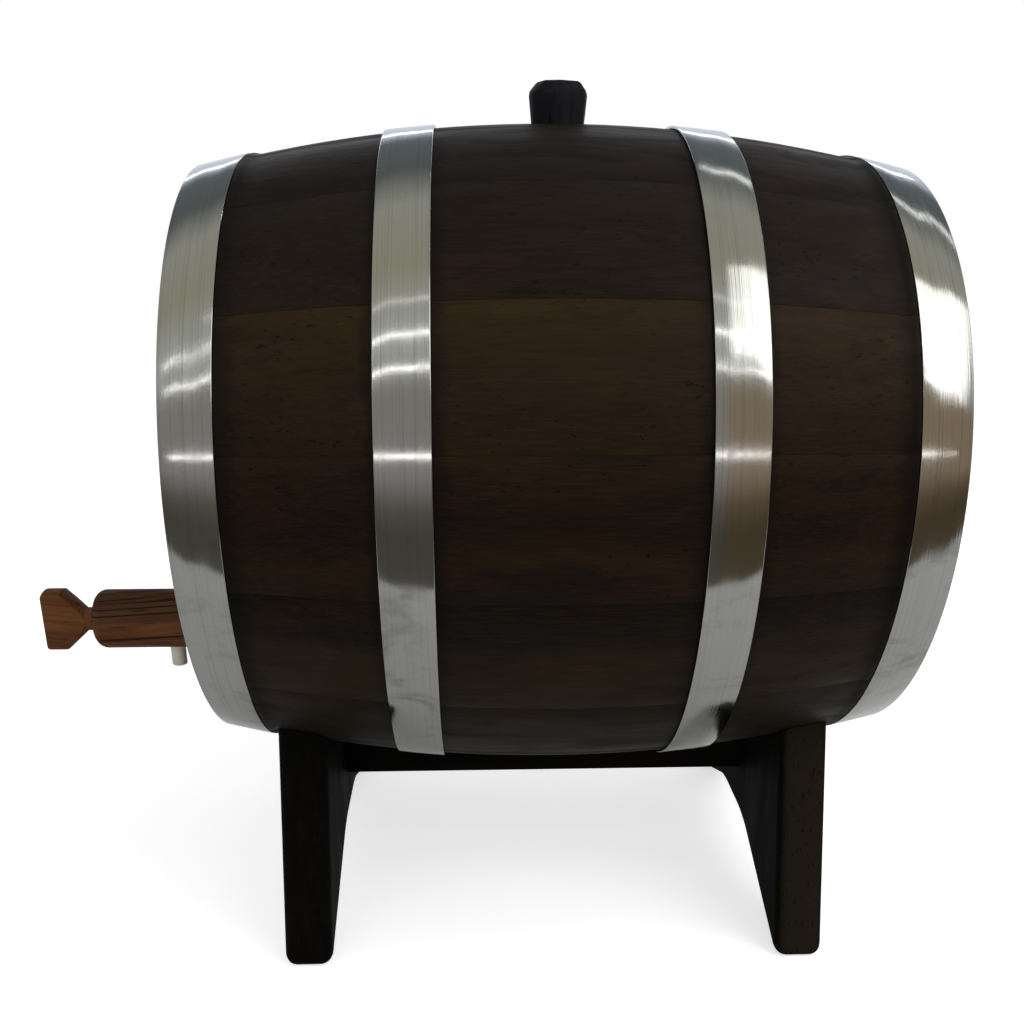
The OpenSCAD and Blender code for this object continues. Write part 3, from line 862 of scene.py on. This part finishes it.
class CASK_OT_bung(bpy.types.Operator):
    """Makes the hand-cut bung: a tapered plug, whittled to a smaller top"""

    bl_idname = "cask.bung"
    bl_label = "Bung"

    def execute(self, context):
        settings = context.scene.cask
        low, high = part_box("bung")
        foot = Vector(((low.x + high.x) / 2, 0, AXIS_Z + BILGE_R))
        profile = [foot + Vector((r, 0, z)) * MM for z, r in BUNG_RINGS]
        profile.insert(0, Vector((foot.x, 0, profile[0].z)))
        profile.append(Vector((foot.x, 0, profile[-1].z)))
        bung = outline("cut_bung", profile, filled=False)
        spin(bung, foot, (0, 0, 1), FULL_TURN, 14)
        start_edit(bung)
        for turn, slope, out in BUNG_CUTS:
            turn, slope = math.radians(turn), math.radians(slope)
            facing = Vector((math.cos(turn), math.sin(turn), 0)) * math.cos(slope)
            facing.z = math.sin(slope)
            bpy.ops.mesh.select_all(action="SELECT")
            bpy.ops.mesh.bisect(
                plane_co=foot + facing * out * MM, plane_no=facing, use_fill=True, clear_outer=True
            )
        tidy_up()
        end_edit()
        round_edges(bung, 0.25 * MM, 20)
        smooth(bung, 18)
        finish = stain_finish("stained_bung", settings.bung_stain, UPRIGHT, 0.1, 0.45)
        finish_piece(bung, "bung", "dark_wood", [finish], "bung")
        return {"FINISHED"}


# Radii of the tap: the drink's bore, the tail's tip and root, the key's shaft and neck, and the distance
# of the knob's flats from its middle
DRINK_BORE, TAIL_TIP, TAIL_ROOT = 4.5 * MM, 9.1 * MM, 11 * MM
KEY_SHAFT, KEY_NECK, KEY_FLAT = 6.5 * MM, 5.65 * MM, 5.75 * MM
TAP_CENTRE = Vector((CASK_X, 0, TAP_Z))


def tap_profile(points):
    """Corners along the tap's axis: distances outwards from the cask's middle, and radii."""
    return [Vector((CASK_X - s, 0, TAP_Z + r)) for s, r in points]


def arc_points(s, r, radius, steps=6):
    """Corners of a rounded outer edge that ends a turned bar at s, with radius r."""
    turns = [math.pi / 2 * i / steps for i in range(steps + 1)]
    return [(s - radius + radius * math.sin(t), r - radius + radius * math.cos(t)) for t in turns]


class CASK_OT_tap(bpy.types.Operator):
    """Makes the tap: a turned body with a cork liner, a knob with two flats and a tube for a spout"""

    bl_idname = "cask.tap"
    bl_label = "Tap"

    def execute(self, context):
        settings = context.scene.cask
        self.body(settings)
        self.key(settings)
        paint_node("tap_liner", cork_finish())
        paint_node("tap_key_pin", dowel_finish())
        paint_node("tap_spout", tube_finish(settings))
        return {"FINISHED"}

    def body(self, settings):
        """The turned bar, with its tapered tail in the head and the bores for the cork and the drink."""
        low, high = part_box("tap_body")
        liner_low, liner_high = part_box("tap_liner")
        head = CASK_X - min(p.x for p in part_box("front_head_board_1"))
        end, tail, bore_in = (CASK_X - x for x in (low.x, high.x, liner_high.x))
        radius, bore = (high.y - low.y) / 2, (liner_high.y - liner_low.y) / 2 + 0.05 * MM
        corners = [(tail, DRINK_BORE), (tail, TAIL_TIP), (head, TAIL_ROOT), (head, radius)]
        corners += [(head + (end - head) * i / 8, radius) for i in range(1, 8)]
        corners += arc_points(end, radius, 5 * MM) + [(end, bore), (bore_in, bore), (bore_in, DRINK_BORE)]
        body = outline("turned_tap_body", tap_profile(corners), filled=False)
        spin(body, TAP_CENTRE, (1, 0, 0))
        smooth(body)
        finish_piece(body, "cask", "tap_wood", [tap_finish(settings)], "tap_body")

    def key(self, settings):
        """The shaft in the cork, the neck, and a knob turned as a cone and then cut flat on two sides."""
        low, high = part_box("tap_key")
        mouth, end, shaft_in = (CASK_X - x for x in (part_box("tap_body")[0].x, low.x, high.x))
        knob, cone = (high.z - low.z) / 2, mouth + 4.9 * MM
        corners = [(shaft_in, 0), (shaft_in, KEY_SHAFT), (mouth - 2 * MM, KEY_SHAFT)]
        corners += [(mouth - 1 * MM, KEY_NECK), (cone, KEY_NECK), (cone + 10.4 * MM, knob)]
        corners += arc_points(end, knob, 1.5 * MM) + [(end, 0)]
        key = outline("turned_key", tap_profile(corners), filled=False)
        spin(key, TAP_CENTRE, (1, 0, 0))
        chip = Vector((50, 40, 60)) * MM
        for side in (-1, 1):
            middle = (CASK_X - cone - chip.x / 2, side * (KEY_FLAT + chip.y / 2), TAP_Z)
            cut_box(key, middle, chip)
        round_edges(key, 0.5 * MM, 50)
        smooth(key, 30)
        finish_piece(key, "key", "tap_wood", [tap_finish(settings, "key_wood", 31.0, 6.0)], "tap_key")


def board_corners(side, settings):
    """Corners of a cradle board's inner face: the cradle, then the feet with the arch between them."""
    low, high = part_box("back_cradle_board" if side > 0 else "front_cradle_board")
    inner, outer = (low.x, high.x) if side > 0 else (high.x, low.x)
    foot = high.y
    radius = outside_r(abs(inner - CASK_X)) + settings.cradle_gap
    steps = 24
    corners = []
    for i in range(steps + 1):
        a = settings.cradle_angle * (2 * i / steps - 1)
        corners.append((radius * math.sin(a), AXIS_Z - radius * math.cos(a)))
    start, top, height = foot - settings.arch_foot, settings.arch_top, settings.arch_h
    # The arch: the share of its height that climbs straight, and the share of its top that is level
    straight, level = 0.86, 0.5
    bend = Vector((top + (1 - straight) * (start - top), straight * height))
    peak, end = Vector((top, height)), Vector((level * top, height))
    slope = [(start, 0)]
    for i in range(6):
        slope.append(bend.lerp(peak, i / 5).lerp(peak.lerp(end, i / 5), i / 5))
    corners.append((foot, 0))
    corners += slope + [(-y, z) for y, z in reversed(slope)]
    corners.append((-foot, 0))
    return [Vector((inner, y, z)) for y, z in corners], inner, outer


def cradle_board(side, settings):
    """One board of the stand: its outline made thick, fitted to the bulge of the cask and rounded."""
    corners, inner, outer = board_corners(side, settings)
    board = outline(f"stained_{'back' if side > 0 else 'front'}_cradle_board", corners)
    start_edit(board)
    bpy.ops.mesh.extrude_region_move(TRANSFORM_OT_translate={"value": (outer - inner, 0, 0)})
    tidy_up()
    end_edit()
    shrink = outside_r(abs(outer - CASK_X)) / outside_r(abs(inner - CASK_X))

    def from_axis(p):
        return math.hypot(p.y, p.z - AXIS_Z)

    for v in board.data.vertices:
        if abs(v.co.x - outer) < CLOSE and from_axis(v.co) < BILGE_R:
            v.co = Vector((v.co.x, v.co.y * shrink, AXIS_Z + (v.co.z - AXIS_Z) * shrink))
    foot = max(c.y for c in corners)

    def is_rounded(a, b):
        on_face = abs(a.x - b.x) < CLOSE
        if on_face:
            return max(from_axis(a), from_axis(b)) > BILGE_R
        return max(a.z, b.z) < CLOSE and min(abs(a.y), abs(b.y)) > foot - CLOSE

    bevel_edges(board, is_rounded, settings.board_edge, 5)
    smooth(board, 35)
    return board


def screw_heads():
    """The stand's screws, with a cross cut into each head."""
    screws = copy_of_node("stand_screws", "cross_head_screws")
    low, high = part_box("stand_screws")
    middle = (low + high) / 2
    deep, long, wide = 2.5 * MM, 2.2 * MM, 0.4 * MM
    for end in (low.x, high.x):
        for blade in ((deep, long, wide), (deep, wide, long)):
            cut_box(screws, (end, middle.y, middle.z), blade)
    smooth(screws, 30)
    return screws


class CASK_OT_stand(bpy.types.Operator):
    """Makes the cradle boards, the stretcher between them and the screws that hold it"""

    bl_idname = "cask.stand"
    bl_label = "Stand"

    def execute(self, context):
        settings = context.scene.cask
        # The back board gets painted light on its faces that look to the front
        for side, name, lit_front in ((-1, "front", 0.0), (1, "back", 0.75)):
            finish = stain_finish(f"stained_{name}_board", settings.stain, UPRIGHT, 0.1, painted_front_light=lit_front)
            finish_piece(cradle_board(side, settings), "stand", "dark_wood", [finish], f"{name}_cradle_board")
        rail = copy_of_node("stretcher", "stained_stretcher")
        round_edges(rail, 0.9 * MM, 40, 3)
        smooth(rail)
        finish = stain_finish("stained_rail", settings.stain, (0, 0, 0))
        finish_piece(rail, "stand", "dark_wood", [finish], "stretcher")
        finish_piece(screw_heads(), "stand", "screw_steel", [screw_finish()], "stand_screws")
        return {"FINISHED"}


# ---- Studio ----

# The camera: its place from the cask's middle, its lens, and how it is turned, in radians
CAMERA_PLACE = Vector((-35.2, -517.5, 104.05)) * MM
CAMERA_LENS, CAMERA_SHIFT = 39.01, 0.1445
CAMERA_YAW, CAMERA_PITCH, CAMERA_ROLL = 0.0364, 0.3806, 0.0025

# Lamps: name, degrees from the cask's top at which the hoops mirror it, degrees to the right, width and
# height, and share of the power in the settings
LAMP_DISTANCE = 1.6
WINDOW = ("window", 57, 42, (1.1, 0.95), 1)
STRIPS = (
    ("strip_top", 56, 0, (1.9, 0.02), 0.2),
    ("strip_high", 61.2, 0, (3.8, 0.03), 1.6),
    ("strip_middle", 66.2, 0, (3.8, 0.025), 1.8),
    ("strip_low", 78.7, 0, (3.8, 0.03), 1.9),
    ("strip_back", 14, 0, (1.9, 0.04), 0.9),
    ("strip_above", 29.5, 32, (1.2, 0.03), 0.5),
)

# What metal mirrors along a circle over the cask: degrees from straight up towards the camera, and colour
MIRRORED = (
    (-180, (0.90, 0.95, 1.0)),
    (-64, (0.78, 0.84, 0.95)),
    (-56, (0.20, 0.23, 0.26)),
    (-32, (0.21, 0.24, 0.24)),
    (-14, (0.72, 0.72, 0.64)),
    (12, (0.68, 0.67, 0.52)),
    (28, (0.84, 0.85, 0.78)),
    (40, (1.0, 1.0, 0.98)),
    (57, (0.54, 0.52, 0.47)),
    (86, (0.54, 0.52, 0.52)),
    (96, (0.25, 0.22, 0.19)),
    (106, (0.15, 0.14, 0.11)),
    (180, (0.20, 0.20, 0.18)),
)
WARM_WALL = (1.0, 0.80, 0.58)
WHITE = (1, 1, 1)
FLOOR_TONE = (0.86, 0.86, 0.86)
FLOOR_IN_METAL = 0.2


def mirrored_lamp(name, angle, side, size, share, power):
    """A soft rectangular lamp, placed where the cask mirrors it at an angle from its top, and to one side."""
    light = bpy.data.lights.new(name, "AREA")
    light.shape = "RECTANGLE"
    light.size, light.size_y = size
    light.energy = power * share
    lamp = bpy.data.objects.new(name, light)
    bpy.context.scene.collection.objects.link(lamp)
    angle, side = math.radians(angle), math.radians(side)
    point = CENTRE + BILGE_R * Vector((0, -math.sin(angle), math.cos(angle)))
    seen = CENTRE + CAMERA_PLACE - point
    turn = 2 * angle - math.atan2(-seen.y, seen.z)
    away = Vector((math.sin(side), -math.cos(side) * math.sin(turn), math.cos(side) * math.cos(turn)))
    along = Vector((math.cos(side), math.sin(side) * math.sin(turn), -math.sin(side) * math.cos(turn)))
    facing = Matrix((along, away.cross(along), away)).transposed().to_4x4()
    lamp.matrix_world = Matrix.Translation(point + LAMP_DISTANCE * away) @ facing


class CASK_OT_stage(bpy.types.Operator):
    """Sets up the camera, the floor, the lamps and the even light"""

    bl_idname = "cask.stage"
    bl_label = "Stage"

    def execute(self, context):
        scene = context.scene
        settings = scene.cask_stage
        scene.view_settings.view_transform = "Standard"
        self.camera(scene)
        self.floor(settings)
        self.world(scene, settings)
        mirrored_lamp(*WINDOW, settings.lamp_power)
        for strip in STRIPS:
            mirrored_lamp(*strip, settings.strip_power)
        return {"FINISHED"}

    def camera(self, scene):
        """The camera, whose upright is shifted and not tilted to bring the cask to the frame's middle."""
        data = bpy.data.cameras.new("camera")
        data.lens, data.sensor_width, data.shift_y = CAMERA_LENS, 36, CAMERA_SHIFT
        level = Vector((math.sin(CAMERA_YAW), math.cos(CAMERA_YAW), 0))
        forward = math.cos(CAMERA_PITCH) * level - math.sin(CAMERA_PITCH) * Vector((0, 0, 1))
        right = forward.cross(Vector((0, 0, 1))).normalized()
        up = right.cross(forward)
        facing = Matrix((right, up, -forward)).transposed() @ Matrix.Rotation(CAMERA_ROLL, 3, "Z")
        camera = bpy.data.objects.new("camera", data)
        camera.matrix_world = Matrix.Translation(CENTRE + CAMERA_PLACE) @ facing.to_4x4()
        scene.collection.objects.link(camera)
        scene.camera = camera

    def floor(self, settings):
        """A pale floor, which keeps the shadow. It glows to the camera and through glass, less in metal."""
        let_go()
        bpy.ops.mesh.primitive_plane_add(
            size=settings.floor_size, location=(0, settings.floor_size / 2 - settings.floor_front, 0)
        )
        floor = bpy.context.object
        floor.name = "floor"
        finish = Finish("pale_floor", roughness=0.9)
        rays = finish.node("ShaderNodeLightPath").outputs
        seen = finish.times(rays["Is Glossy Ray"], FLOOR_IN_METAL)
        for kind in ("Is Camera Ray", "Is Transmission Ray"):
            seen = finish.math("MAXIMUM", seen, rays[kind])
        for name, value in (
            ("Base Color", FLOOR_TONE), ("Specular IOR Level", 0), ("Emission Color", WHITE),
            ("Emission Strength", finish.times(seen, settings.floor_glow)),
        ):
            finish.put(finish.shader.inputs[name], value)
        floor.data.materials.append(finish.material)

    def world(self, scene, settings):
        """Even light, plain white to the camera, and to metal a studio with a dark room behind the camera."""
        world = bpy.data.worlds.new("studio")
        scene.world = world
        world.use_nodes = True
        nodes = Nodes(world.node_tree)
        rays = nodes.node("ShaderNodeLightPath").outputs
        way = nodes.node("ShaderNodeTexCoord").outputs["Generated"]
        turn = nodes.math("ARCTAN2", nodes.times(nodes.axis(way, "Y"), -1), nodes.axis(way, "Z"))
        place = nodes.ramp(turn, -math.pi, math.pi, smooth=False)
        band = nodes.bands(place, [((degrees + 180) / 360, colour) for degrees, colour in MIRRORED])
        low = nodes.ramp(turn, math.radians(48), math.radians(60), smooth=False)
        right = nodes.ramp(nodes.axis(way, "X"), 0.2, 0.4, smooth=False)
        mirrored = nodes.mix(nodes.times(low, right), band, WARM_WALL, "MULTIPLY")
        lit = nodes.mix(rays["Is Glossy Ray"], (settings.daylight,) * 3, mirrored)
        seen = nodes.mix(rays["Is Camera Ray"], lit, WHITE)
        nodes.put(world.node_tree.nodes["Background"].inputs["Color"], seen)


class CASK_PT_panel(bpy.types.Panel):
    """The cask's sizes, colours and steps"""

    bl_label = "Oak Cask Dispenser"
    bl_idname = "CASK_PT_panel"
    bl_space_type = "VIEW_3D"
    bl_region_type = "UI"
    bl_category = "Cask"

    def draw(self, context):
        for group in (context.scene.cask, context.scene.cask_stage):
            for name in group.__annotations__:
                self.layout.prop(group, name)
        for operator in STEPS:
            self.layout.operator(operator.bl_idname)


STEPS = (
    CASK_OT_stage, CASK_OT_staves, CASK_OT_hoops, CASK_OT_heads, CASK_OT_bung, CASK_OT_tap, CASK_OT_stand
)
CLASSES = (CaskSettings, StageSettings, *STEPS, CASK_PT_panel)


def register():
    for made in CLASSES:
        bpy.utils.register_class(made)
    bpy.types.Scene.cask = PointerProperty(type=CaskSettings)
    bpy.types.Scene.cask_stage = PointerProperty(type=StageSettings)


def unregister():
    del bpy.types.Scene.cask_stage
    del bpy.types.Scene.cask
    for made in reversed(CLASSES):
        bpy.utils.unregister_class(made)


def main():
    register()
    bpy.ops.cask.stage()
    bpy.ops.cask.staves()
    bpy.ops.cask.hoops()
    bpy.ops.cask.heads()
    bpy.ops.cask.bung()
    bpy.ops.cask.tap()
    bpy.ops.cask.stand()


if __name__ == "__main__":
    main()
